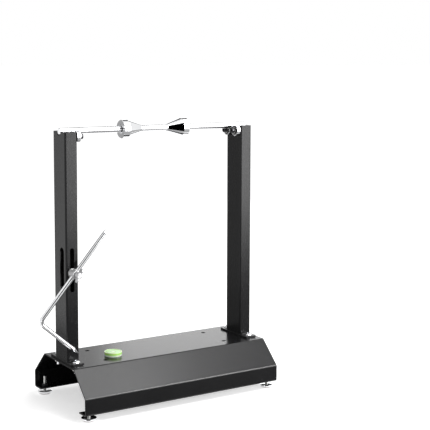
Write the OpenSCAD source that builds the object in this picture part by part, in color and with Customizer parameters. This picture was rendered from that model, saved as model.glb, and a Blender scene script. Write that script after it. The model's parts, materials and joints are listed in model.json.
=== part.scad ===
// Static wheel balancer for motorcycle wheels.
// A folded sheet base on four screw feet carries two rectangular tube uprights.
// Each upright holds a pair of ball bearings, and the wheel's shaft rolls in the
// hollow between them. A bent pointer rod is clamped to the slotted left upright.
// X runs along the base with the slotted upright at the low end, -Y is the front
// and Z is up. The origin is the bottom centre of the whole part.

/* [Base] */
// Length of the folded base
base_l = 421; // [390:1:460]
// Width over the two skirts
base_w = 220; // [205:1:240]
// Width of the flat top
top_w = 128; // [118:1:136]
// Height from the lips to the flat top
base_h = 76; // [70:1:86]
// Height of the upright skirts
skirt_h = 32; // [28:1:38]
// Width of the lips turned in under the skirts
lip_w = 26; // [24:1:30]
// Thickness of the sheet
sheet_t = 2.5; // [2:0.1:3]
// Outer radius of every fold
fold_r = 4.5; // [3.2:0.1:5]
// Distance from each base end to the spare holes
spare_hole_inset = 78; // [60:1:100]

/* [Feet] */
// Distance from each base end to the foot screws
foot_inset_x = 14; // [14:1:24]
// Distance from each skirt to the foot screws
foot_inset_y = 15; // [13.5:0.5:16]
// Diameter of the foot disc
foot_d = 28; // [20:1:28]
// Thickness of the foot disc at its middle
foot_t = 5; // [4:0.5:8]
// Thickness of the disc at its rim, and radius of its rounded lower edge
foot_rim_t = 3; // [1:0.5:3]
// Diameter of the pad under the disc
foot_pad_d = 21; // [16:1:24]
// How far the pad stands out under the disc
foot_pad_t = 1.5; // [1:0.5:3]
// Free height between the disc and the lip
foot_gap = 5.5; // [5:0.5:10]
// Diameter of the foot screw
foot_screw_d = 6; // [5:0.5:8]
// Height of the foot screw's end above the bottom of the lip
foot_screw_rise = 22; // [16:1:26]

/* [Uprights] */
// Tube size along the base
tube_x = 25; // [24:1:30]
// Tube size across the base
tube_y = 50; // [50:1:56]
// Wall of the tube
tube_wall = 2; // [1.5:0.1:2.5]
// Outer corner radius of the tube
tube_r = 3; // [2.8:0.1:4]
// Distance from each base end to the tube
tube_inset = 5; // [3:0.5:10]
// Height of the tube tops above the base
tube_top_h = 427; // [400:1:460]
// Thickness of the welded foot plates
plate_t = 3.5; // [3:0.5:6]
// Width of the foot plates along the base
plate_w = 27; // [25:0.5:30]
// Length of the foot plates across the base
plate_l = 92; // [90:1:100]
// Distance between the two screws of a foot plate
screw_pitch = 76; // [74:1:77]

/* [Clamp slot] */
// Width of the slot in the front of the left tube
slot_w = 8.6; // [8.4:0.1:10]
// Length of the slot and of the side window
slot_l = 82; // [70:1:90]
// Height of the slot's middle above the base
slot_mid_h = 173; // [160:1:180]
// Width of the side window
window_w = 17; // [12:1:20]
// Distance of the window's middle from the tube's middle, towards the front
window_offset = 8; // [7:1:10]

/* [Bearings] */
// Outer diameter of the ball bearings
bearing_d = 22; // [20:0.5:23]
// Width of the bearings
bearing_w = 7; // [6:0.5:8]
// Distance between the two bearings of a pair
bearing_pitch = 28; // [24:0.5:30]
// Thickness of the spacer between the tube and a bearing
spacer_t = 1.2; // [0.8:0.1:3]
// Outer diameter of the spacer
spacer_d = 10; // [8:0.5:10.5]

/* [Shaft and cones] */
// Diameter of the shaft
shaft_d = 12; // [10:0.5:14]
// Height of the shaft's axis above the tube tops
shaft_rise = 0; // [0:0.5:3]
// Largest diameter of the cones
cone_d = 35; // [32:1:40]
// Wall left at a cone's tip
cone_tip_t = 0.9; // [0.5:0.1:2]
// Length of the straight rim behind a cone
cone_rim_l = 12.5; // [10:0.5:16]
// Length of the tapered part
cone_l = 30; // [24:1:40]
// Distance from the left base end to the left cone's back
left_cone_x = 133; // [125:1:140]
// Distance from the right base end to the right cone's back
right_cone_x = 144.5; // [135:0.5:150]

/* [Pointer] */
// Diameter of the pointer rod
rod_d = 8; // [6:0.5:8]
// Length of the long arm, from the corner to the tip
rod_long = 214; // [200:1:220]
// Length of the short arm, from the corner to the tip
rod_short = 100; // [80:1:104]
// Radius of the bend at the rod's middle
rod_bend_r = 10; // [9:1:20]
// Length of each ground point
rod_point_l = 12; // [8:1:16]
// Distance along the long arm from the corner to the clamp
rod_grip = 108; // [100:1:112]
// Angle of the long arm above the base
rod_tilt = 49; // [40:1:55]
// Height of the clamp above the base
clamp_h = 168; // [166:1:190]
// Diameter of the clamp's swivel block
block_d = 16; // [15:0.5:18]
// Length of the swivel block
block_l = 18; // [15:0.5:20]
// Angle of the wings above the base
wing_angle = 62; // [0:1:90]

/* [Level] */
// Diameter of the round level
level_d = 33; // [28:1:34]
// Height of the round level
level_h = 7.5; // [7:0.5:12]
// Distance from the left base end to the level
level_x = 105.8; // [100:0.1:115]
// Distance of the level in front of the base's middle
level_front = 15.8; // [12:0.1:18]

/* [Hidden] */
// The corners' names, and in the same order their side along X and their sign along Y
corner_names = ["front_left", "front_right", "back_left", "back_right"];
corner_signs = [[0, -1], [1, -1], [0, 1], [1, 1]];

$fn = 64;

// Overrun of every cut past the face that it opens
cut = 1;
// Free play of a screw in its hole
hole_play = 0.5;
// Free play of a screw in its nut, measured on the diameter
thread_play = 0.1;

// Screws and nuts of the 8 mm size
screw_d = 8;
screw_head_d = 14;
screw_head_t = 4.4;
screw_edge_t = 1.2;
socket_af = 5;
socket_depth = 2.6;
upright_screw_l = 20;
nut_af = 13;
nut_t = 6.5;
washer_d = 16;
washer_t = 1.6;
// Screw end that stands out past a nut
screw_end = 1.4;

// Foot lock nut and the screw's seat in the disc
lock_nut_af = 10;
lock_nut_t = 5;
foot_boss_d = 11;
foot_seat = 2;

// Cap screws and nuts of the 6 mm size, through the bearings
bearing_screw_d = 6;
cap_head_d = 10;
cap_head_t = 6;
cap_edge = 0.5;
cap_socket_af = 5;
cap_socket_depth = 3;
bearing_nut_af = 10;
bearing_nut_t = 5;
bearing_washer_d = 12;

// Inside of a bearing
ring_bore_d = 6.05;
inner_ring_d = 10.6;
outer_ring_bore_d = 17.8;
seal_d = 11.2;
seal_t = 0.5;
ball_d = 4;
ball_count = 7;
ball_play = 0.06;
cage_t = 0.8;
cage_d = 0.9;

// Shaft ends, notches and cones
shaft_chamfer = 0.8;
notch_play = 1.5;
seat_play = 0.05;
cone_play = 0.1;
cone_chamfer = 0.8;
cone_recess_d = 17;
cone_recess_t = 3;
cone_screw_d = 6;
cone_screw_sink = 1;
cone_screw_play = 0.2;
cone_screw_socket_af = 3;
cone_screw_socket_depth = 3;
cone_screw_back = 30;

// Pointer and its clamp
rod_tip_d = 0.6;
rod_play = 0.25;
clamp_washer_d = 18;
block_chamfer = 0.8;
stud_seat = 4;
wing_gap = 2;
wing_hub_d = 11;
wing_hub_l = 10;
wing_span = 27;
wing_t = 3;
wing_tip_r = 4.2;
wing_root_r = 3.4;
wing_rise = 8;

// Inside of the level
level_wall = 2;
level_floor = 1.5;
level_window_t = 1.6;
level_lip = 0.6;
bubble_d = 8;
bubble_t = 1.1;

// Plan corners and edge chamfers of the foot plates
plate_r = 4;
plate_chamfer = 0.6;

// Height of the lips above the ground
stand_h = foot_gap + foot_t + foot_pad_t;
// Slope of the base's flanks and the angles of its folds
flank_run = (base_w - top_w) / 2;
flank_rise = base_h - skirt_h;
flank_angle = atan2(flank_rise, flank_run);
// Corners of one half of the base's section before folding, from the top out to the lip
base_corners = [[top_w / 2, 0], [base_w / 2, -flank_rise], [base_w / 2, -base_h]];
// How far the sheet turns down at each corner
base_turns = [flank_angle, 90 - flank_angle, 90];
// Flat facets of one fold
fold_steps = 8;

// Middles of the uprights, from the left base end
left_x = tube_inset + tube_x / 2;
right_x = base_l - left_x;
tube_h = tube_top_h - plate_t;

// Bearings under the shaft
shaft_h = base_h + tube_top_h + shaft_rise;
seat_reach = (bearing_d + shaft_d) / 2 + seat_play;
bearing_z = shaft_h - sqrt(pow(seat_reach, 2) - pow(bearing_pitch / 2, 2));
bearing_screw_l = washer_t + bearing_w + spacer_t + tube_wall + bearing_nut_t + screw_end;
ball_ring_r = (inner_ring_d + outer_ring_bore_d) / 4;

// Middle of a cone's radial screw, measured from the cone's back
cone_screw_z = cone_recess_t + (cone_rim_l - cone_recess_t) / 2;

// Pointer clamp, measured back from the front of the left tube
front_y = -tube_y / 2;
block_y = front_y - washer_t;
rod_y = block_y - block_l / 2;
clamp_z = base_h + clamp_h;
stud_l = 2 * washer_t + tube_wall + nut_t + screw_end;

// The bend of the rod reaches furthest left, and the base furthest right
bend_x = left_x - (rod_grip - rod_bend_r) * cos(rod_tilt) + rod_bend_r * sin(rod_tilt);
part_low_x = bend_x - rod_bend_r - rod_d / 2;
origin_x = (part_low_x + base_l) / 2;

// Colours
black_paint = [0.12, 0.12, 0.13];
chrome = [0.82, 0.82, 0.84];
zinc = [0.7, 0.7, 0.68];
cast_zinc = [0.76, 0.76, 0.77];
dark_steel = [0.25, 0.25, 0.26];
pad_grey = [0.75, 0.7, 0.68];
clear_plastic = [0.9, 0.95, 0.85];
level_green = [0.75, 0.85, 0.2];

// Moves a piece from the base's own corner to the part's origin
module placed() translate([-origin_x, 0, stand_h]) children();

// Turns a shape that stands on Z so that its axis runs along +X
module along_x() rotate([0, 90, 0]) children();

// Turns a shape that stands on Z so that its axis runs along -Y
module along_front() rotate([90, 0, 0]) children();

// Rectangle with round corners, centred
module rounded_rect(x, y, r) {
    square([x - 2 * r, y], center = true);
    square([x, y - 2 * r], center = true);
    for (sx = [-1, 1], sy = [-1, 1])
        translate([sx * (x / 2 - r), sy * (y / 2 - r)]) circle(r);
}

// Hexagon nut standing on Z = 0
module nut(af, t, d) {
    difference() {
        intersection() {
            cylinder(h = t, d = af / cos(30), $fn = 6);
            translate([0, 0, t / 2]) rotate_extrude()
                polygon([[0, -t / 2], [af / 2, -t / 2], [af / cos(30) / 2, -t / 2 + t / 10],
                         [af / cos(30) / 2, t / 2 - t / 10], [af / 2, t / 2], [0, t / 2]]);
        }
        translate([0, 0, -cut]) cylinder(h = t + 2 * cut, d = d + thread_play);
    }
}

// Washer standing on Z = 0
module washer(d, bore_d, t) {
    difference() {
        cylinder(h = t, d = d);
        translate([0, 0, -cut]) cylinder(h = t + 2 * cut, d = bore_d);
    }
}

// Button head screw: the head's flat is on Z = 0 and the shank hangs below it
module button_screw(l) {
    dome_h = screw_head_t - screw_edge_t;
    dome_r = (pow(screw_head_d / 2, 2) + pow(dome_h, 2)) / (2 * dome_h);
    translate([0, 0, -l]) cylinder(h = l + screw_edge_t, d = screw_d);
    difference() {
        union() {
            cylinder(h = screw_edge_t, d = screw_head_d);
            translate([0, 0, screw_edge_t]) intersection() {
                translate([0, 0, dome_h - dome_r]) sphere(dome_r);
                cylinder(h = dome_h, d = screw_head_d);
            }
        }
        translate([0, 0, screw_head_t - socket_depth])
            cylinder(h = socket_depth + cut, d = socket_af / cos(30), $fn = 6);
    }
}

// Socket cap screw: the head stands on Z = 0 and the shank hangs below it
module cap_screw(l) {
    translate([0, 0, -l]) cylinder(h = l + cap_edge, d = bearing_screw_d);
    difference() {
        union() {
            cylinder(h = cap_head_t - cap_edge, d = cap_head_d);
            translate([0, 0, cap_head_t - cap_edge])
                cylinder(h = cap_edge, d1 = cap_head_d, d2 = cap_head_d - 2 * cap_edge);
        }
        translate([0, 0, cap_head_t - cap_socket_depth])
            cylinder(h = cap_socket_depth + cut, d = cap_socket_af / cos(30), $fn = 6);
    }
}

// Direction of the sheet as it comes to corner i
function heading(i) = i == 0 ? 0 : heading(i - 1) - base_turns[i - 1];

// Middle of the fold at corner i
function fold_middle(i) =
    base_corners[i] - fold_r * tan(base_turns[i] / 2) * [cos(heading(i)), sin(heading(i))]
    + fold_r * [sin(heading(i)), -cos(heading(i))];

// Points along all folds of one half, at radius r from the folds' middles
function fold_points(r) = [
    for (i = [0 : len(base_turns) - 1], k = [0 : fold_steps])
        let (a = heading(i) - base_turns[i] * k / fold_steps)
        fold_middle(i) + r * [-sin(a), cos(a)]];

function reversed(points) = [for (i = [len(points) - 1 : -1 : 0]) points[i]];
function mirrored(points) = [for (p = points) [-p[0], p[1]]];

// Section of the folded sheet, with the outside of the flat top on Y = 0
module base_section() {
    lip_x = base_w / 2 - lip_w;
    outside = concat(fold_points(fold_r), [[lip_x, -base_h]]);
    inside = concat(fold_points(fold_r - sheet_t), [[lip_x, -base_h + sheet_t]]);
    polygon(concat(outside, reversed(inside), mirrored(inside), reversed(mirrored(outside))));
}

// Folded sheet base with its holes
module base_channel() color(black_paint) {
    difference() {
        translate([0, 0, base_h]) rotate([90, 0, 90]) linear_extrude(base_l) base_section();
        for (x = [left_x, right_x, spare_hole_inset, base_l - spare_hole_inset], sy = [-1, 1])
            translate([x, sy * screw_pitch / 2, base_h - sheet_t - cut])
                cylinder(h = sheet_t + 2 * cut, d = screw_d + hole_play);
        for (sx = [0, 1], sy = [-1, 1])
            at_foot(sx, sy) translate([0, 0, -cut])
                cylinder(h = sheet_t + 2 * cut, d = foot_screw_d + hole_play);
    }
}

// Puts a shape at one foot: sx is 0 for left and 1 for right, sy is -1 for front
module at_foot(sx, sy)
    translate([sx == 0 ? foot_inset_x : base_l - foot_inset_x, sy * (base_w / 2 - foot_inset_y), 0])
        children();

// Domed steel disc of a foot, with a boss that holds the screw
module foot_disc(sx, sy) color(chrome) at_foot(sx, sy) {
    dome_h = foot_t - foot_rim_t;
    dome_r = (pow(foot_d / 2, 2) - pow(foot_boss_d / 2, 2) + pow(dome_h, 2)) / (2 * dome_h);
    translate([0, 0, -foot_gap - foot_t]) difference() {
        rotate_extrude() {
            square([foot_d / 2 - foot_rim_t, foot_rim_t]);
            intersection() {
                translate([foot_d / 2 - foot_rim_t, foot_rim_t]) circle(foot_rim_t);
                square([foot_d / 2, foot_rim_t]);
            }
            intersection() {
                translate([foot_boss_d / 2, foot_rim_t])
                    square([(foot_d - foot_boss_d) / 2, dome_h]);
                translate([foot_boss_d / 2, foot_t - dome_r])
                    circle(dome_r);
            }
            square([foot_boss_d / 2, foot_t]);
        }
        translate([0, 0, foot_t - foot_seat]) cylinder(h = foot_seat + cut, d = foot_screw_d);
    }
}

// Threaded screw of a foot, seated in the disc
module foot_screw(sx, sy) color(zinc) at_foot(sx, sy)
    translate([0, 0, -foot_gap - foot_seat]) {
        l = foot_seat + foot_gap + foot_screw_rise;
        cylinder(h = l - foot_screw_d / 8, d = foot_screw_d);
        translate([0, 0, l - foot_screw_d / 8])
            cylinder(h = foot_screw_d / 8, d1 = foot_screw_d, d2 = foot_screw_d * 3 / 4);
    }

// Soft pad under a foot disc
module foot_pad(sx, sy) color(pad_grey) at_foot(sx, sy)
    translate([0, 0, -stand_h]) cylinder(h = foot_pad_t, d = foot_pad_d);

// Lock nuts on the lips, one for each foot
module foot_lock_nuts() color(dark_steel)
    for (sx = [0, 1], sy = [-1, 1])
        at_foot(sx, sy) translate([0, 0, sheet_t]) nut(lock_nut_af, lock_nut_t, foot_screw_d);

// Rectangular tube on its foot plate, with a notch for the shaft.
// side is -1 when the bearings are on the low X wall and 1 when on the high one.
module upright_tube(x, side) {
    translate([x, 0, base_h + plate_t]) difference() {
        linear_extrude(tube_h) difference() {
            rounded_rect(tube_x, tube_y, tube_r);
            rounded_rect(tube_x - 2 * tube_wall, tube_y - 2 * tube_wall, tube_r - tube_wall);
        }
        translate([-tube_x / 2 - cut, 0, shaft_h - base_h - plate_t]) along_x()
            cylinder(h = tube_x + 2 * cut, d = shaft_d + 2 * notch_play);
        for (sy = [-1, 1])
            translate([side * (tube_x - tube_wall) / 2, sy * bearing_pitch / 2, bearing_z - base_h - plate_t])
                along_x() cylinder(h = tube_wall + 2 * cut, d = bearing_screw_d + hole_play, center = true);
    }
}

// Round ended opening of width w and length slot_l, cut through a wall
module long_hole(w) {
    h = tube_wall + 2 * cut;
    translate([0, 0, -h / 2]) linear_extrude(h) {
        square([w, slot_l - w], center = true);
        for (s = [-1, 1])
            translate([0, s * (slot_l - w) / 2]) circle(d = w);
    }
}

// Left tube with the front slot of the pointer and the side window to its nut
module left_upright_tube() color(black_paint)
    difference() {
        upright_tube(left_x, 1);
        translate([left_x, front_y + tube_wall / 2, base_h + slot_mid_h]) along_front() long_hole(slot_w);
        translate([left_x - (tube_x - tube_wall) / 2, -window_offset, base_h + slot_mid_h])
            rotate([90, 0, 90]) long_hole(window_w);
    }

// Right tube
module right_upright_tube() color(black_paint) upright_tube(right_x, -1);

// Bar along X of width w and length l, with its two upper edges chamfered
module plate_bar(w, l)
    translate([-l / 2, 0, 0]) rotate([90, 0, 90]) linear_extrude(l)
        polygon([[-w / 2, 0], [w / 2, 0], [w / 2, plate_t - plate_chamfer], [w / 2 - plate_chamfer, plate_t],
                 [plate_chamfer - w / 2, plate_t], [-w / 2, plate_t - plate_chamfer]]);

// Plate welded under a tube
module foot_plate(x) color(black_paint)
    translate([x, 0, base_h]) difference() {
        intersection() {
            linear_extrude(plate_t) rounded_rect(plate_w, plate_l, plate_r);
            rotate(90) plate_bar(plate_w, plate_l);
            plate_bar(plate_l, plate_w);
        }
        for (sy = [-1, 1])
            translate([0, sy * screw_pitch / 2, -cut])
                cylinder(h = plate_t + 2 * cut, d = screw_d + hole_play);
    }

// Repeats a shape at the four screws of the foot plates
module at_plate_screws(z)
    for (x = [left_x, right_x], sy = [-1, 1])
        translate([x, sy * screw_pitch / 2, z]) children();

// Screws that hold the foot plates
module upright_screws() color(chrome)
    at_plate_screws(base_h + plate_t) button_screw(upright_screw_l);

// Washers under the flat top
module upright_washers() color(zinc)
    at_plate_screws(base_h - sheet_t - washer_t) washer(washer_d, screw_d + hole_play, washer_t);

// Nuts under the washers
module upright_nuts() color(zinc)
    at_plate_screws(base_h - sheet_t - washer_t - nut_t) nut(nut_af, nut_t, screw_d);

// Puts a shape at a bearing, with Z running away from the tube along the base.
// sx is 0 for left and 1 for right, sy is -1 for front.
module at_bearing(sx, sy)
    translate([sx == 0 ? left_x : right_x, sy * bearing_pitch / 2, bearing_z])
        mirror([sx, 0, 0]) along_x() translate([0, 0, tube_x / 2]) children();

// Outer ring
module outer_ring(sx, sy) color(chrome) at_bearing(sx, sy)
    translate([0, 0, spacer_t]) rotate_extrude() difference() {
        edge = (bearing_d - outer_ring_bore_d) / 10;
        polygon([[outer_ring_bore_d / 2, 0], [bearing_d / 2 - edge, 0], [bearing_d / 2, edge],
                 [bearing_d / 2, bearing_w - edge], [bearing_d / 2 - edge, bearing_w],
                 [outer_ring_bore_d / 2, bearing_w]]);
        translate([ball_ring_r, bearing_w / 2]) circle(d = ball_d + 2 * ball_play);
    }

// The two rubber seals of a bearing, which turn with its outer ring
module bearing_seals(sx, sy) color(dark_steel) at_bearing(sx, sy)
    for (z = [seal_t, bearing_w - 2 * seal_t])
        translate([0, 0, spacer_t + z]) washer(outer_ring_bore_d, seal_d, seal_t);

// Seven balls in a thin wire cage
module bearing_balls(sx, sy) color(chrome) at_bearing(sx, sy)
    translate([0, 0, spacer_t + bearing_w / 2]) {
        for (i = [0 : ball_count - 1])
            rotate(i * 360 / ball_count) translate([ball_ring_r, 0, 0]) sphere(d = ball_d);
        rotate_extrude() translate([ball_ring_r - cage_d / 2, -cage_t / 2]) square([cage_d, cage_t]);
    }

// Inner ring, clamped by the screw
module inner_ring(sx, sy) color(chrome) at_bearing(sx, sy)
    translate([0, 0, spacer_t]) rotate_extrude() difference() {
        translate([ring_bore_d / 2, 0]) square([(inner_ring_d - ring_bore_d) / 2, bearing_w]);
        translate([ball_ring_r, bearing_w / 2]) circle(d = ball_d + 2 * ball_play);
    }

// Spacers between the tubes and the inner rings
module bearing_spacers() color(dark_steel)
    for (sx = [0, 1], sy = [-1, 1])
        at_bearing(sx, sy) washer(spacer_d, ring_bore_d, spacer_t);

// Washers between the inner rings and the screw heads
module bearing_washers() color(zinc)
    for (sx = [0, 1], sy = [-1, 1])
        at_bearing(sx, sy) translate([0, 0, spacer_t + bearing_w])
            washer(bearing_washer_d, ring_bore_d, washer_t);

// Screws through the bearings, spacers and tube walls
module bearing_screws() color(dark_steel)
    for (sx = [0, 1], sy = [-1, 1])
        at_bearing(sx, sy) translate([0, 0, spacer_t + bearing_w + washer_t]) cap_screw(bearing_screw_l);

// Nuts inside the tubes
module bearing_nuts() color(zinc)
    for (sx = [0, 1], sy = [-1, 1])
        at_bearing(sx, sy) translate([0, 0, -tube_wall - bearing_nut_t])
            nut(bearing_nut_af, bearing_nut_t, bearing_screw_d);

// Ground shaft that carries the wheel
module shaft() color(chrome)
    translate([tube_inset, 0, shaft_h]) along_x() {
        l = base_l - 2 * tube_inset;
        cylinder(h = shaft_chamfer, d1 = shaft_d - 2 * shaft_chamfer, d2 = shaft_d);
        translate([0, 0, shaft_chamfer]) cylinder(h = l - 2 * shaft_chamfer, d = shaft_d);
        translate([0, 0, l - shaft_chamfer])
            cylinder(h = shaft_chamfer, d1 = shaft_d, d2 = shaft_d - 2 * shaft_chamfer);
    }

// Puts a shape at a cone's back, with Z running towards its tip
module at_cone(sx)
    translate([sx == 0 ? left_cone_x : base_l - right_cone_x, 0, shaft_h])
        mirror([sx, 0, 0]) along_x() children();

// Radial screw, pointing away from the front and low
module at_cone_screw()
    translate([0, 0, cone_screw_z]) rotate(90 - cone_screw_back) along_x() children();

// Centring cone with a recessed back
module cone(sx) color(chrome) at_cone(sx)
    difference() {
        rotate_extrude() polygon([
            [shaft_d / 2 + cone_play, cone_recess_t],
            [cone_recess_d / 2, cone_recess_t],
            [cone_recess_d / 2, 0],
            [cone_d / 2 - cone_chamfer, 0],
            [cone_d / 2, cone_chamfer],
            [cone_d / 2, cone_rim_l],
            [shaft_d / 2 + cone_play + cone_tip_t, cone_rim_l + cone_l],
            [shaft_d / 2 + cone_play, cone_rim_l + cone_l]]);
        at_cone_screw() cylinder(h = cone_d, d = cone_screw_d + thread_play);
    }

// Radial screw that locks a cone on the shaft
module cone_screw(sx) color(dark_steel) at_cone(sx) at_cone_screw() {
    low = shaft_d / 2 + cone_screw_play;
    high = cone_d / 2 - cone_screw_sink;
    difference() {
        translate([0, 0, low]) cylinder(h = high - low, d = cone_screw_d);
        translate([0, 0, high - cone_screw_socket_depth])
            cylinder(h = cone_screw_socket_depth + cut, d = cone_screw_socket_af / cos(30), $fn = 6);
    }
}

// Frame of the pointer: X runs along the long arm and the origin is the clamp
module at_pointer() translate([left_x, rod_y, clamp_z]) rotate([0, -rod_tilt, 0]) children();

// Ground point of the rod, with its sharp end at the origin and its body at +Z
module rod_point() cylinder(h = rod_point_l, d1 = rod_tip_d, d2 = rod_d);

// Rod bent to a right angle and pointed at both ends
module pointer_rod() color(chrome) at_pointer() {
    corner = -rod_grip;
    straight = rod_long - rod_bend_r - rod_point_l;
    translate([corner + rod_bend_r, 0, 0]) along_x() cylinder(h = straight, d = rod_d);
    translate([corner + rod_long, 0, 0]) rotate([0, -90, 0]) rod_point();
    translate([corner + rod_bend_r, 0, -rod_bend_r]) rotate([90, 0, 0]) rotate(90)
        rotate_extrude(angle = 90) translate([rod_bend_r, 0]) circle(d = rod_d);
    translate([corner, 0, -rod_short + rod_point_l])
        cylinder(h = rod_short - rod_bend_r - rod_point_l, d = rod_d);
    translate([corner, 0, -rod_short]) rod_point();
}

// Round block that grips the rod and turns on the stud
module swivel_block() color(cast_zinc)
    translate([left_x, 0, clamp_z]) difference() {
        translate([0, block_y, 0]) along_front() {
            cylinder(h = block_l - block_chamfer, d = block_d);
            translate([0, 0, block_l - block_chamfer])
                cylinder(h = block_chamfer, d1 = block_d, d2 = block_d - 2 * block_chamfer);
        }
        translate([0, rod_y, 0]) rotate([0, 90 - rod_tilt, 0])
            cylinder(h = block_d + 2 * cut, d = rod_d + 2 * rod_play, center = true);
        translate([0, rod_y, 0]) along_front()
            cylinder(h = block_l / 2 + cut, d = screw_d + thread_play);
        translate([0, block_y + cut, 0]) along_front()
            cylinder(h = stud_seat + cut, d = screw_d + thread_play);
    }

// Stud from the swivel block through the slot to the inner nut
module clamp_stud() color(zinc)
    translate([left_x, block_y + stud_l, clamp_z]) along_front()
        cylinder(h = stud_l + stud_seat, d = screw_d);

// Washer between the block and the front of the tube
module clamp_washer() color(zinc)
    translate([left_x, front_y, clamp_z]) along_front()
        washer(clamp_washer_d, screw_d + thread_play, washer_t);

// Washer on the inside of the slotted wall
module clamp_inner_washer() color(zinc)
    translate([left_x, front_y + tube_wall + washer_t, clamp_z]) along_front()
        washer(washer_d, screw_d + thread_play, washer_t);

// Nut that draws the stud and the block against the tube
module clamp_inner_nut() color(zinc)
    translate([left_x, front_y + tube_wall + washer_t + nut_t, clamp_z]) along_front()
        nut(nut_af, nut_t, screw_d);

// Winged screw that presses on the rod from the front
module wing_screw() color(cast_zinc)
    translate([left_x, rod_y, clamp_z]) along_front() {
        tip = rod_d / 2 + rod_play;
        hub = block_l / 2 + wing_gap;
        translate([0, 0, tip]) cylinder(h = hub - tip, d = screw_d);
        translate([0, 0, hub]) {
            cylinder(h = wing_hub_l - block_chamfer, d = wing_hub_d);
            translate([0, 0, wing_hub_l - block_chamfer])
                cylinder(h = block_chamfer, d1 = wing_hub_d, d2 = wing_hub_d - 2 * block_chamfer);
        }
        rotate(wing_angle) for (s = [0, 180]) rotate(s) rotate([90, 0, 0])
            translate([0, 0, -wing_t / 2]) linear_extrude(wing_t) hull() {
                translate([wing_root_r, hub + wing_root_r]) circle(wing_root_r, $fn = 24);
                translate([wing_span / 2 - wing_tip_r, hub + wing_rise]) circle(wing_tip_r, $fn = 32);
            }
    }

// Puts a shape at the level, standing on the flat top
module at_level() translate([level_x, -level_front, base_h]) children();

// Cup of the round level
module level_body() color(clear_plastic) at_level()
    difference() {
        cylinder(h = level_h, d = level_d);
        translate([0, 0, level_floor]) cylinder(h = level_h, d = level_d - 2 * level_wall);
        translate([0, 0, level_h - level_lip - level_window_t])
            cylinder(h = level_h, d = level_d - level_wall);
    }

// Clear window pressed into the cup
module level_window() color(clear_plastic) at_level()
    translate([0, 0, level_h - level_lip - level_window_t])
        cylinder(h = level_window_t, d = level_d - level_wall);

// Liquid under the window, with the hollow of the bubble
module level_fluid() color(level_green) at_level()
    difference() {
        translate([0, 0, level_floor])
            cylinder(h = level_h - level_lip - level_window_t - level_floor, d = level_d - 2 * level_wall);
        bubble();
    }

// Air bubble under the window
module bubble()
    translate([0, 0, level_h - level_lip - level_window_t - bubble_t]) cylinder(h = bubble_t, d = bubble_d);

module level_bubble() color(clear_plastic) at_level() bubble();

placed() base_channel();
for (i = [0 : 3]) {
    sx = corner_signs[i][0];
    sy = corner_signs[i][1];
    placed() foot_disc(sx, sy);
    placed() foot_screw(sx, sy);
    placed() foot_pad(sx, sy);
    placed() outer_ring(sx, sy);
    placed() bearing_seals(sx, sy);
    placed() bearing_balls(sx, sy);
    placed() inner_ring(sx, sy);
}
placed() foot_lock_nuts();
placed() left_upright_tube();
placed() right_upright_tube();
placed() foot_plate(left_x);  // left_foot_plate
placed() foot_plate(right_x);  // right_foot_plate
placed() upright_screws();
placed() upright_washers();
placed() upright_nuts();
placed() bearing_spacers();
placed() bearing_washers();
placed() bearing_screws();
placed() bearing_nuts();
placed() shaft();
placed() cone(0);  // left_cone
placed() cone(1);  // right_cone
placed() cone_screw(0);  // left_cone_screw
placed() cone_screw(1);  // right_cone_screw
placed() pointer_rod();
placed() swivel_block();
placed() clamp_stud();
placed() clamp_washer();
placed() clamp_inner_washer();
placed() clamp_inner_nut();
placed() wing_screw();
placed() level_body();
placed() level_window();
placed() level_fluid();
placed() level_bubble();
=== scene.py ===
import json
import math

import bmesh
import bpy
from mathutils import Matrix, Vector


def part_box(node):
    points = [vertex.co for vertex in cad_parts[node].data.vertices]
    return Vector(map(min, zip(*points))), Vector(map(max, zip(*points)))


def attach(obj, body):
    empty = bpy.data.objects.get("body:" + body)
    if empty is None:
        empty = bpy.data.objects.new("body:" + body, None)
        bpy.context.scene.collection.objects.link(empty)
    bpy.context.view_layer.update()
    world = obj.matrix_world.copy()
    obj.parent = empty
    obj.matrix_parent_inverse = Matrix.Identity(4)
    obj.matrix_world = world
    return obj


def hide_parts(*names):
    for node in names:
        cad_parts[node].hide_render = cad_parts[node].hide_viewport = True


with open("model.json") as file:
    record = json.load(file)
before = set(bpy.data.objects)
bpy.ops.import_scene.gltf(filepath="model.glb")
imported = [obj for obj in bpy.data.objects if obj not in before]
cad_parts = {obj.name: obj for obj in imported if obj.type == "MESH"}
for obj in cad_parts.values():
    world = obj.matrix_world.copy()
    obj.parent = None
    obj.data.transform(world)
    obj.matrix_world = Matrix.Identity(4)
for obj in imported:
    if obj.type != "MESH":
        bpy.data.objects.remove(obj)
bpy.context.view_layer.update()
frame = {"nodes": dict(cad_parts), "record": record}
nodes = frame["nodes"]

CORNERS = ("front_left", "front_right", "back_left", "back_right")
MM = 0.001


# Node helpers

def new_material(name):
    """A node material, with its tree, its Principled shader and a coordinate node."""
    material = bpy.data.materials.new(name)
    material.use_nodes = True
    tree = material.node_tree
    shader = tree.nodes["Principled BSDF"]
    coords = tree.nodes.new("ShaderNodeTexCoord")
    return material, tree, shader, coords


def set_sockets(shader, **values):
    """Sets plain socket values, with underscores standing for spaces in a socket's name."""
    for name, value in values.items():
        shader.inputs[name.replace("_", " ")].default_value = value


def noise(tree, coords, scale, detail=3.0, stretch=None):
    """A noise texture in object coordinates, with its features shrunk along each axis by stretch."""
    texture = tree.nodes.new("ShaderNodeTexNoise")
    texture.inputs["Scale"].default_value = scale
    texture.inputs["Detail"].default_value = detail
    source = coords.outputs["Object"]
    if stretch:
        mapping = tree.nodes.new("ShaderNodeMapping")
        mapping.inputs["Scale"].default_value = stretch
        tree.links.new(source, mapping.inputs["Vector"])
        source = mapping.outputs["Vector"]
    tree.links.new(source, texture.inputs["Vector"])
    return texture.outputs["Fac"]


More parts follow.
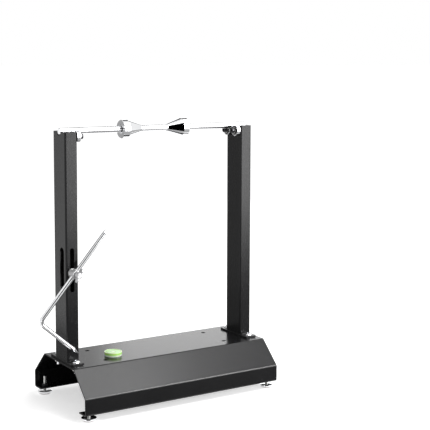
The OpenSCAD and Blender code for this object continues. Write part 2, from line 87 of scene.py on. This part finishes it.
def ramp(tree, source, stops):
    """A colour ramp over source. stops are pairs of a place and a grey or a colour."""
    node = tree.nodes.new("ShaderNodeValToRGB")
    elements = node.color_ramp.elements
    while len(elements) < len(stops):
        # Each element gets its own place in the next loop
        elements.new(0.5)
    for element, (place, tone) in zip(elements, stops):
        element.position = place
        element.color = (*tone, 1) if isinstance(tone, tuple) else (tone, tone, tone, 1)
    tree.links.new(source, node.inputs["Fac"])
    return node.outputs["Color"]


# Outputs of a noise between which its patches pass from one tone to the other
PATCH_PLACES = (0.3, 0.7)


def vary(tree, shader, socket, source, tones, places=PATCH_PLACES):
    """Drives a socket by a noise, from the first of two tones to the second."""
    tree.links.new(ramp(tree, source, tuple(zip(places, tones))), shader.inputs[socket])


BEVEL_SAMPLES = 6


def bump(tree, shader, height, strength, distance, edge=0.0):
    """Bump from height on the shader, and if edge is given, edges that look rounded by that radius."""
    node = tree.nodes.new("ShaderNodeBump")
    if edge:
        rounding = tree.nodes.new("ShaderNodeBevel")
        rounding.samples = BEVEL_SAMPLES
        rounding.inputs["Radius"].default_value = edge
        tree.links.new(rounding.outputs["Normal"], node.inputs["Normal"])
    node.inputs["Strength"].default_value = strength
    node.inputs["Distance"].default_value = distance
    tree.links.new(height, node.inputs["Height"])
    tree.links.new(node.outputs["Normal"], shader.inputs["Normal"])


# Materials

def powder_coat():
    """Black powder coat with a fine grain and slightly rounded edges."""
    material, tree, shader, coords = new_material("black_powder_coat")
    set_sockets(shader, Specular_IOR_Level=0.24)
    vary(tree, shader, "Base Color", noise(tree, coords, scale=14.0),
         tones=((0.0045, 0.0045, 0.005), (0.0075, 0.0075, 0.008)))
    vary(tree, shader, "Roughness", noise(tree, coords, scale=260.0), tones=(0.19, 0.25))
    grain = noise(tree, coords, scale=900.0, detail=2.0)
    bump(tree, shader, grain, strength=0.06, distance=0.15 * MM, edge=0.25 * MM)
    return material


def polished_chrome():
    """Chrome that is nearly a mirror, with a faint haze in patches."""
    material, tree, shader, coords = new_material("polished_chrome")
    set_sockets(shader, Metallic=1.0)
    vary(tree, shader, "Base Color", noise(tree, coords, scale=40.0),
         tones=((0.80, 0.805, 0.82), (0.86, 0.865, 0.875)))
    vary(tree, shader, "Roughness", noise(tree, coords, scale=500.0),
         tones=(0.025, 0.05), places=(0.35, 0.7))
    return material


def turned_steel():
    """Ground steel of the bearings, with fine marks round the X axis."""
    material, tree, shader, coords = new_material("turned_steel")
    set_sockets(shader, Metallic=1.0)
    marks = noise(tree, coords, scale=60.0, detail=2.0, stretch=(60.0, 1.0, 1.0))
    vary(tree, shader, "Base Color", marks, tones=((0.74, 0.745, 0.76), (0.84, 0.845, 0.86)))
    vary(tree, shader, "Roughness", marks, tones=(0.09, 0.16))
    bump(tree, shader, marks, strength=0.05, distance=0.02 * MM)
    return material


def bright_zinc():
    """Zinc plate on the foot screws, the stud, washers and nuts, with a barely yellow tint."""
    material, tree, shader, coords = new_material("bright_zinc")
    set_sockets(shader, Metallic=1.0)
    patches = noise(tree, coords, scale=220.0)
    vary(tree, shader, "Base Color", patches, tones=((0.64, 0.64, 0.62), (0.8, 0.8, 0.78)))
    vary(tree, shader, "Roughness", patches, tones=(0.24, 0.36))
    bump(tree, shader, noise(tree, coords, scale=1500.0), strength=0.08, distance=0.05 * MM)
    return material


def cast_zinc():
    """Plated die casting, a little uneven, with soft edges."""
    material, tree, shader, coords = new_material("cast_zinc")
    set_sockets(shader, Metallic=0.85)
    patches = noise(tree, coords, scale=160.0, detail=4.0)
    vary(tree, shader, "Base Color", patches, tones=((0.42, 0.42, 0.43), (0.6, 0.6, 0.61)))
    vary(tree, shader, "Roughness", patches, tones=(0.48, 0.62))
    bump(tree, shader, noise(tree, coords, scale=700.0), strength=0.25, distance=0.15 * MM, edge=0.5 * MM)
    return material


def black_oxide():
    """Blackened steel of the cap and cone screws, the spacers and the lock nuts."""
    material, tree, shader, coords = new_material("black_oxide")
    set_sockets(shader, Metallic=0.6)
    patches = noise(tree, coords, scale=300.0)
    vary(tree, shader, "Base Color", patches, tones=((0.018, 0.018, 0.02), (0.04, 0.04, 0.043)))
    vary(tree, shader, "Roughness", patches, tones=(0.3, 0.42))
    bump(tree, shader, noise(tree, coords, scale=1800.0), strength=0.1, distance=0.05 * MM)
    return material


def pad_rubber():
    """Pale, slightly pink rubber under the feet."""
    material, tree, shader, coords = new_material("pad_rubber")
    set_sockets(shader, Roughness=0.6)
    vary(tree, shader, "Base Color", noise(tree, coords, scale=180.0),
         tones=((0.52, 0.46, 0.45), (0.62, 0.56, 0.55)))
    bump(tree, shader, noise(tree, coords, scale=1200.0), strength=0.2, distance=0.1 * MM)
    return material


def seal_rubber():
    """Black rubber of the bearings' seals."""
    material, tree, shader, coords = new_material("seal_rubber")
    set_sockets(shader, Roughness=0.45)
    vary(tree, shader, "Base Color", noise(tree, coords, scale=400.0),
         tones=((0.008, 0.008, 0.008), (0.02, 0.02, 0.02)))
    bump(tree, shader, noise(tree, coords, scale=2000.0), strength=0.1, distance=0.05 * MM)
    return material


def level_plastic():
    """Clear cup, pale at its rims and as green as the liquid between them."""
    material, tree, shader, coords = new_material("level_plastic")
    split = tree.nodes.new("ShaderNodeSeparateXYZ")
    tree.links.new(coords.outputs["Object"], split.inputs["Vector"])
    low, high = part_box("level_body")
    height_share = tree.nodes.new("ShaderNodeMapRange")
    height_share.inputs["From Min"].default_value = low.z
    height_share.inputs["From Max"].default_value = high.z
    tree.links.new(split.outputs["Z"], height_share.inputs["Value"])
    stops = [(0.0, (0.80, 0.90, 0.76)), (0.38, (0.74, 0.92, 0.60)), (0.48, (0.46, 0.88, 0.16)),
             (0.78, (0.55, 0.93, 0.22)), (0.86, (0.66, 0.93, 0.40)), (1.0, (0.76, 0.93, 0.60))]
    tree.links.new(ramp(tree, height_share.outputs["Result"], stops), shader.inputs["Base Color"])
    vary(tree, shader, "Roughness", noise(tree, coords, scale=120.0), tones=(0.1, 0.16))
    set_sockets(shader, Subsurface_Weight=0.3, Subsurface_Scale=3 * MM)
    return material


# Shares of the window's radius: the bubble's painted shade, its painted dark outline, and where the rim's
# painted shine starts
BUBBLE_SHADE_W = 0.05
BUBBLE_OUTLINE_W = 0.03
RIM_SHINE_START = 0.85


def level_glass():
    """Window as it looks with the green liquid and the pale round bubble under it, with the bubble's
    shade, its dark outline and a shine towards the rim painted into its colour.
    """
    material, tree, shader, coords = new_material("level_glass")
    low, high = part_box("level_window")
    from_axis = tree.nodes.new("ShaderNodeVectorMath")
    from_axis.operation = "MULTIPLY_ADD"
    from_axis.inputs[1].default_value = (1, 1, 0)
    from_axis.inputs[2].default_value = (-(low.x + high.x) / 2, -(low.y + high.y) / 2, 0)
    tree.links.new(coords.outputs["Object"], from_axis.inputs[0])
    reach = tree.nodes.new("ShaderNodeVectorMath")
    reach.operation = "LENGTH"
    tree.links.new(from_axis.outputs["Vector"], reach.inputs[0])
    radius_share = tree.nodes.new("ShaderNodeMapRange")
    radius_share.inputs["From Max"].default_value = (high.x - low.x) / 2
    tree.links.new(reach.outputs["Value"], radius_share.inputs["Value"])
    bubble_low, bubble_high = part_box("level_bubble")
    edge = (bubble_high.x - bubble_low.x) / (high.x - low.x)
    # Painted light in the window's colour: shade round the bubble, its dark outline, and a shine towards
    # the rim
    bubble_middle = (0.56, 0.76, 0.40)
    bubble_painted_shade = (0.50, 0.72, 0.33)
    bubble_painted_outline = (0.24, 0.54, 0.11)
    liquid = (0.33, 0.66, 0.19)
    rim_painted_shine = (0.42, 0.72, 0.27)
    stops = [(0.0, bubble_middle), (edge - BUBBLE_SHADE_W, bubble_painted_shade), (edge, bubble_painted_outline),
             (edge + BUBBLE_OUTLINE_W, liquid), (RIM_SHINE_START, liquid), (1.0, rim_painted_shine)]
    tree.links.new(ramp(tree, radius_share.outputs["Result"], stops), shader.inputs["Base Color"])
    vary(tree, shader, "Roughness", noise(tree, coords, scale=90.0), tones=(0.04, 0.08))
    set_sockets(shader, Transmission_Weight=0.15, IOR=1.45)
    return material


def level_liquid():
    """The level's green liquid."""
    material, tree, shader, coords = new_material("level_liquid")
    vary(tree, shader, "Base Color", noise(tree, coords, scale=60.0),
         tones=((0.42, 0.86, 0.10), (0.52, 0.93, 0.16)))
    set_sockets(shader, Roughness=0.12, Transmission_Weight=0.25, IOR=1.36)
    return material


MATERIALS = {
    "black_paint": powder_coat(),
    "chrome": polished_chrome(),
    "zinc": bright_zinc(),
    "bearing_steel": turned_steel(),
    "cast_zinc": cast_zinc(),
    "black_steel": black_oxide(),
    "foot_rubber": pad_rubber(),
    "seal_rubber": seal_rubber(),
    "level_plastic": level_plastic(),
    "level_glass": level_glass(),
    "level_fluid": level_liquid(),
}
for subpart in frame["record"]["subparts"]:
    for material_slot in nodes[subpart["node"]].material_slots:
        material_slot.material = MATERIALS[subpart["material_slot"]]


# Small work that the solids leave out or keep plain

def add_piece(name, mesh, slot, body):
    """Makes an object of a bmesh, with the slot's material, that rides on a body."""
    bmesh.ops.recalc_face_normals(mesh, faces=mesh.faces)
    for face in mesh.faces:
        face.smooth = True
    data = bpy.data.meshes.new(name)
    mesh.to_mesh(data)
    mesh.free()
    piece = bpy.data.objects.new(name, data)
    bpy.context.scene.collection.objects.link(piece)
    data.materials.append(MATERIALS[slot])
    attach(piece, body)
    return piece


def skin(mesh, rings, capped=True):
    """Faces between rings of points, each ring closed in itself, with the two ends capped if asked."""
    loops = [[mesh.verts.new(point) for point in ring] for ring in rings]
    count = len(loops[0])
    for first, second in zip(loops, loops[1:]):
        for k in range(count):
            mesh.faces.new((first[k], first[(k + 1) % count], second[(k + 1) % count], second[k]))
    if capped:
        mesh.faces.new(loops[0])
        mesh.faces.new(loops[-1])


THREAD_PITCH = 1.0 * MM
THREAD_DEPTH = 0.5 * MM
# Points round the thread, and rows of them in each pitch
THREAD_SIDES = 32
THREAD_ROWS = 6
# Length of the taper at a screw's top end, and the share of the radius that it leaves there
SCREW_TIP_L = 0.75 * MM
SCREW_TIP_SHARE = 0.75


def threaded_screw(corner):
    """Foot screw with its helical thread, inside the plain screw that it stands for."""
    node = corner + "_foot_screw"
    low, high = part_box(node)
    middle = (low + high) / 2
    radius = (high.x - low.x) / 2
    rows = round((high.z - low.z) / THREAD_PITCH * THREAD_ROWS)
    rings = []
    for row in range(rows + 1):
        z = low.z + (high.z - low.z) * row / rows
        tip = SCREW_TIP_SHARE + (1 - SCREW_TIP_SHARE) * min(1, (high.z - z) / SCREW_TIP_L)
        ring = []
        for side in range(THREAD_SIDES):
            turn = side / THREAD_SIDES
            angle = math.tau * turn
            groove = abs(2 * ((z / THREAD_PITCH - turn) % 1) - 1)
            r = min(radius * tip, radius - THREAD_DEPTH * groove)
            ring.append((middle.x + r * math.cos(angle), middle.y + r * math.sin(angle), z))
        rings.append(ring)
    mesh = bmesh.new()
    skin(mesh, rings)
    piece = add_piece(corner + "_threaded_foot_screw", mesh, "zinc", corner + "_foot")
    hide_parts(node)


for corner in CORNERS:
    threaded_screw(corner)

# Leg of a weld bead, how far it stays from the tube's sides, and how deep it reaches into the steel
BEAD_LEG = 2.0 * MM
BEAD_INSET = 2.5 * MM
BEAD_ROOT = 0.4 * MM
# Length of a ripple, and the share of the leg by which the ripples rise to both sides of the mean
BEAD_RIPPLE = 1.6 * MM
BEAD_RIPPLE_SHARE = 0.07
# The bead's ends round off as one minus this power of the way out, down to this least value
BEAD_END_POWER = 10
BEAD_END_LEAST = 0.02
# Sections along a bead, and steps round the arc of each
BEAD_STEPS = 90
BEAD_ARC = 8


def weld_bead(side, way):
    """Bead across the front (way -1) or the back (way 1) of a tube's foot, with the welder's ripples."""
    tube_low, tube_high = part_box(side + "_upright_tube")
    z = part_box(side + "_foot_plate")[1].z
    y = tube_high.y if way > 0 else tube_low.y
    start = tube_low.x + BEAD_INSET
    length = tube_high.x - tube_low.x - 2 * BEAD_INSET
    rings = []
    for step in range(BEAD_STEPS + 1):
        share = step / BEAD_STEPS
        end = math.sqrt(max(BEAD_END_LEAST, 1 - (2 * share - 1) ** BEAD_END_POWER))
        wave = math.cos(math.tau * share * length / BEAD_RIPPLE)
        leg = BEAD_LEG * end * (1 - BEAD_RIPPLE_SHARE + BEAD_RIPPLE_SHARE * wave)
        x = start + share * length
        ring = [(x, y - way * BEAD_ROOT, z - BEAD_ROOT)]
        for k in range(BEAD_ARC + 1):
            angle = math.pi / 2 * k / BEAD_ARC
            lag = BEAD_RIPPLE / 3 * math.sin(2 * angle)
            ring.append((x + lag, y + way * leg * math.cos(angle), z + leg * math.sin(angle)))
        rings.append(ring)
    mesh = bmesh.new()
    skin(mesh, rings)
    add_piece(side + ("_back" if way > 0 else "_front") + "_weld_bead", mesh, "black_paint", "frame")


for side in ("left", "right"):
    for way in (-1, 1):
        weld_bead(side, way)

# Inner radius and width of the printed ring, and how far it stands over and reaches under the window's top
RING_MARK_R = 4.7 * MM
RING_MARK_W = 0.5 * MM
RING_MARK_T = 0.05 * MM
RING_MARK_STEPS = 96


def ring_mark():
    """Printed ring on the level's window, in which the bubble stands."""
    low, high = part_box("level_window")
    middle = (low + high) / 2
    section = ((RING_MARK_R, -RING_MARK_T), (RING_MARK_R + RING_MARK_W, -RING_MARK_T),
               (RING_MARK_R + RING_MARK_W, RING_MARK_T), (RING_MARK_R, RING_MARK_T))
    rings = []
    for step in range(RING_MARK_STEPS + 1):
        angle = math.tau * step / RING_MARK_STEPS
        rings.append([(middle.x + r * math.cos(angle), middle.y + r * math.sin(angle), high.z + z)
                      for r, z in section])
    mesh = bmesh.new()
    skin(mesh, rings, capped=False)
    # The last ring lies on the first one
    bmesh.ops.remove_doubles(mesh, verts=mesh.verts, dist=RING_MARK_T / 10)
    add_piece("level_ring_mark", mesh, "black_steel", "level")


ring_mark()


# Camera at the photograph's place

CAMERA_AT = (-1.009323, -1.776551, 0.638432)
CAMERA_YAW = math.radians(31.519)
CAMERA_PITCH = math.radians(-5.423)
IMAGE_PX = 430
FOCAL_PX = 1071.835
PRINCIPAL_PX = (180, 165)
SENSOR_MM = 36.0


def add_camera():
    """Pinhole camera with its principal point off the middle of the picture."""
    data = bpy.data.cameras.new("camera")
    camera = bpy.data.objects.new("camera", data)
    bpy.context.scene.collection.objects.link(camera)
    camera.location = CAMERA_AT
    camera.rotation_euler = (math.pi / 2 + CAMERA_PITCH, 0, -CAMERA_YAW)
    data.sensor_width = SENSOR_MM
    data.lens = SENSOR_MM * FOCAL_PX / IMAGE_PX
    data.shift_x = (IMAGE_PX / 2 - PRINCIPAL_PX[0]) / IMAGE_PX
    data.shift_y = (PRINCIPAL_PX[1] - IMAGE_PX / 2) / IMAGE_PX
    bpy.context.scene.camera = camera


add_camera()


# Lamps

# Height of what hangs over the object
OVERHEAD_Z = 2.1


def soft_box(name, at, target, width, height, radiance):
    """A rectangular lamp that the camera doesn't see. radiance is what a mirror shows of it."""
    data = bpy.data.lights.new(name, "AREA")
    data.shape = "RECTANGLE"
    data.size = width
    data.size_y = height
    data.energy = radiance * math.pi * width * height
    lamp = bpy.data.objects.new(name, data)
    bpy.context.scene.collection.objects.link(lamp)
    lamp.location = at
    lamp.rotation_euler = (Vector(target) - Vector(at)).to_track_quat("-Z", "Y").to_euler()
    lamp.visible_camera = False


# Shine on the left part of the base's front slope
soft_box("overhead_box", at=(0.47, -0.6, OVERHEAD_Z), target=(0.0, 0.0, 0.1),
         width=0.95, height=1.1, radiance=7.5)
# Shine on the upper part of the uprights' front faces
soft_box("front_box", at=(1.2, -1.8, 0.6), target=(0.05, 0.0, 0.4), width=1.1, height=1.15, radiance=6.8)
# Shine on the base's flat top
soft_box("back_box", at=(1.9, 2.1, 0.8), target=(0.0, 0.0, 0.1), width=1.6, height=1.0, radiance=1.3)


# Cards that shape what polish and paint reflect

CARD_LIFT = 2 * MM


def gloss_card(name, radiance, corners, far_radiance=None):
    """A glowing or dark card that shows only in gloss.

    If far_radiance is given, the glow fades to it from the card's low X end to its high X end.
    """
    mesh = bpy.data.meshes.new(name)
    mesh.from_pydata([Vector(corner) for corner in corners], [], [(0, 1, 2, 3)])
    card = bpy.data.objects.new(name, mesh)
    bpy.context.scene.collection.objects.link(card)
    material = bpy.data.materials.new(name)
    material.use_nodes = True
    tree = material.node_tree
    tree.nodes.remove(tree.nodes["Principled BSDF"])
    glow = tree.nodes.new("ShaderNodeEmission")
    glow.inputs["Color"].default_value = (1, 1, 1, 1)
    glow.inputs["Strength"].default_value = radiance
    tree.links.new(glow.outputs["Emission"], tree.nodes["Material Output"].inputs["Surface"])
    if far_radiance is not None:
        coords = tree.nodes.new("ShaderNodeTexCoord")
        split = tree.nodes.new("ShaderNodeSeparateXYZ")
        tree.links.new(coords.outputs["Object"], split.inputs["Vector"])
        along = tree.nodes.new("ShaderNodeMapRange")
        along.inputs["From Min"].default_value = min(corner[0] for corner in corners)
        along.inputs["From Max"].default_value = max(corner[0] for corner in corners)
        along.inputs["To Min"].default_value = radiance
        along.inputs["To Max"].default_value = far_radiance
        tree.links.new(split.outputs["X"], along.inputs["Value"])
        tree.links.new(along.outputs["Result"], glow.inputs["Strength"])
    material.cycles.emission_sampling = "NONE"
    mesh.materials.append(material)
    for ray in ("camera", "diffuse", "transmission", "volume_scatter", "shadow"):
        setattr(card, "visible_" + ray, False)


def flat_card(name, radiance, x, y, z=CARD_LIFT, far_radiance=None):
    """A gloss card that lies flat over the ranges x and y, just over the floor unless z is given."""
    corners = [(x[0], y[0], z), (x[1], y[0], z), (x[1], y[1], z), (x[0], y[1], z)]
    gloss_card(name, radiance, corners, far_radiance)


def wall_card(name, radiance, x, y, z):
    """A gloss card that stands across the Y axis, over the ranges x and z."""
    gloss_card(name, radiance, [(x[0], y, z[0]), (x[1], y, z[0]), (x[1], y, z[1]), (x[0], y, z[1])])


# Grey floor in the front skirt, low in the uprights' front faces and under the shaft and the rod
flat_card("front_floor_card", radiance=0.5, x=(-1.5, 2.2), y=(-1.05, -0.13))
# Black card in the shade under the base: painted darkness that the paint inside the base mirrors
flat_card("painted_shade_under_base_card", radiance=0.0, x=(-0.15, 0.205), y=(-0.105, 0.105))

# Dark wedge on the right cone and dark line along the pointer rod: an aisle on the floor that widens
# towards a strip and a wall, which stand well before the object
AISLE_X_NEAR = (-0.12, 0.1)
AISLE_X_FAR = (-0.5, 0.05)
AISLE_Y_NEAR = -0.41
AISLE_Y_FAR = -2.7
AISLE_Z = 2 * CARD_LIFT
gloss_card("dark_aisle", radiance=0.0,
           corners=[(AISLE_X_NEAR[0], AISLE_Y_NEAR, AISLE_Z), (AISLE_X_NEAR[1], AISLE_Y_NEAR, AISLE_Z),
                    (AISLE_X_FAR[1], AISLE_Y_FAR, AISLE_Z), (AISLE_X_FAR[0], AISLE_Y_FAR, AISLE_Z)])
wall_card("dark_strip", radiance=0.0, x=AISLE_X_FAR, y=AISLE_Y_FAR, z=(0.0, 3.8))
wall_card("dark_wall", radiance=0.0, x=(-2.2, AISLE_X_FAR[0]), y=AISLE_Y_FAR, z=(0.9, 2.6))

# Thin light along the base's lower front fold
wall_card("fold_light", radiance=30.0, x=(0.5, 1.6), y=-1.3, z=(0.85, 1.65))
# The front slope's shading towards the right, beside the overhead box
flat_card("overhead_fade", radiance=5.2, x=(0.98, 1.8), y=(-1.1, 0.4), z=OVERHEAD_Z, far_radiance=2.4)
# Grey in the uprights' left faces
wall_card("grey_back", radiance=0.4, x=(-0.5, -0.1), y=0.8, z=(0.0, 0.9))
# A world a little less than white in the base's flat top
wall_card("pale_back", radiance=0.88, x=(0.4, 4.5), y=2.9, z=(0.0, 2.0))
# Darker grey low in the uprights' left faces
flat_card("grey_back_floor", radiance=0.3, x=(-0.45, 0.12), y=(0.13, 0.8))
# Dark upper outlines of the cones and the shaft
wall_card("dark_high_back", radiance=0.05, x=(-0.9, 3.6), y=2.6, z=(1.8, 5.0))
# Dark lower outline of the pointer rod's short arm
flat_card("dark_arm_floor", radiance=0.05, x=(-0.3, -0.215), y=(-0.09, 0.09))

# Greys in the bright rims of the front feet, on the floor between each foot and the camera
FOOT_CARD_RADIANCE = 0.15
# Distance from the foot's axis and half of the card's width, at its near and its far end
FOOT_CARD_NEAR = (17 * MM, 6 * MM)
FOOT_CARD_FAR = (90 * MM, 45 * MM)
TOWARDS_CAMERA = Vector((-math.sin(CAMERA_YAW), -math.cos(CAMERA_YAW), 0))
ACROSS_VIEW = Vector((math.cos(CAMERA_YAW), -math.sin(CAMERA_YAW), 0))


def foot_card(corner):
    """A gloss card that widens from a foot towards the camera."""
    low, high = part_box(corner + "_foot_disc")
    middle = Vector(((low.x + high.x) / 2, (low.y + high.y) / 2, CARD_LIFT / 2))
    near = middle + FOOT_CARD_NEAR[0] * TOWARDS_CAMERA
    far = middle + FOOT_CARD_FAR[0] * TOWARDS_CAMERA
    near_side = FOOT_CARD_NEAR[1] * ACROSS_VIEW
    far_side = FOOT_CARD_FAR[1] * ACROSS_VIEW
    gloss_card(corner + "_foot_card", FOOT_CARD_RADIANCE,
               [near - near_side, near + near_side, far + far_side, far - far_side])


for corner in CORNERS[:2]:
    foot_card(corner)


# World and floor, both white to the camera

def seen_directly(tree):
    """1 for camera, glossy and transmission rays, and 0 for the rays that only light."""
    path = tree.nodes.new("ShaderNodeLightPath")
    total = path.outputs["Is Camera Ray"]
    for name in ("Is Glossy Ray", "Is Transmission Ray"):
        add = tree.nodes.new("ShaderNodeMath")
        add.operation = "MAXIMUM"
        tree.links.new(total, add.inputs[0])
        tree.links.new(path.outputs[name], add.inputs[1])
        total = add.outputs["Value"]
    return total


WORLD_LIGHT = 0.55


def add_world():
    """A world that looks white and lights with less than it shows."""
    world = bpy.data.worlds.new("studio")
    bpy.context.scene.world = world
    world.use_nodes = True
    tree = world.node_tree
    background = tree.nodes["Background"]
    strength = tree.nodes.new("ShaderNodeMapRange")
    strength.inputs["To Min"].default_value = WORLD_LIGHT
    strength.inputs["To Max"].default_value = 1.0
    tree.links.new(seen_directly(tree), strength.inputs["Value"])
    background.inputs["Color"].default_value = (1, 1, 1, 1)
    tree.links.new(strength.outputs["Result"], background.inputs["Strength"])


add_world()

FLOOR_SIZE = 400.0
FLOOR_DROP = 0.5 * MM
FLOOR_ALBEDO = 0.78
# Distance from the origin and strength of the floor's glow there, near and far
GLOW_NEAR = (0.7, 0.56)
GLOW_FAR = (2.6, 0.62)


def floor_paper():
    """White paper that takes shadows, with a glow where it is seen directly."""
    material = bpy.data.materials.new("floor_paper")
    material.use_nodes = True
    tree = material.node_tree
    tree.nodes.remove(tree.nodes["Principled BSDF"])
    paper = tree.nodes.new("ShaderNodeBsdfDiffuse")
    paper.inputs["Color"].default_value = (FLOOR_ALBEDO, FLOOR_ALBEDO, FLOOR_ALBEDO, 1)
    glow = tree.nodes.new("ShaderNodeEmission")
    point = tree.nodes.new("ShaderNodeNewGeometry")
    distance = tree.nodes.new("ShaderNodeVectorMath")
    distance.operation = "LENGTH"
    tree.links.new(point.outputs["Position"], distance.inputs[0])
    level = tree.nodes.new("ShaderNodeMapRange")
    level.inputs["From Min"].default_value, level.inputs["To Min"].default_value = GLOW_NEAR
    level.inputs["From Max"].default_value, level.inputs["To Max"].default_value = GLOW_FAR
    tree.links.new(distance.outputs["Value"], level.inputs["Value"])
    glow_strength = tree.nodes.new("ShaderNodeMath")
    glow_strength.operation = "MULTIPLY"
    tree.links.new(seen_directly(tree), glow_strength.inputs[0])
    tree.links.new(level.outputs["Result"], glow_strength.inputs[1])
    tree.links.new(glow_strength.outputs["Value"], glow.inputs["Strength"])
    both = tree.nodes.new("ShaderNodeAddShader")
    tree.links.new(paper.outputs["BSDF"], both.inputs[0])
    tree.links.new(glow.outputs["Emission"], both.inputs[1])
    tree.links.new(both.outputs["Shader"], tree.nodes["Material Output"].inputs["Surface"])
    return material


bpy.ops.mesh.primitive_plane_add(size=FLOOR_SIZE, location=(0, 0, -FLOOR_DROP))
floor = bpy.context.object
floor.name = "floor"
floor.data.materials.append(floor_paper())

bpy.context.scene.view_settings.view_transform = "Standard"
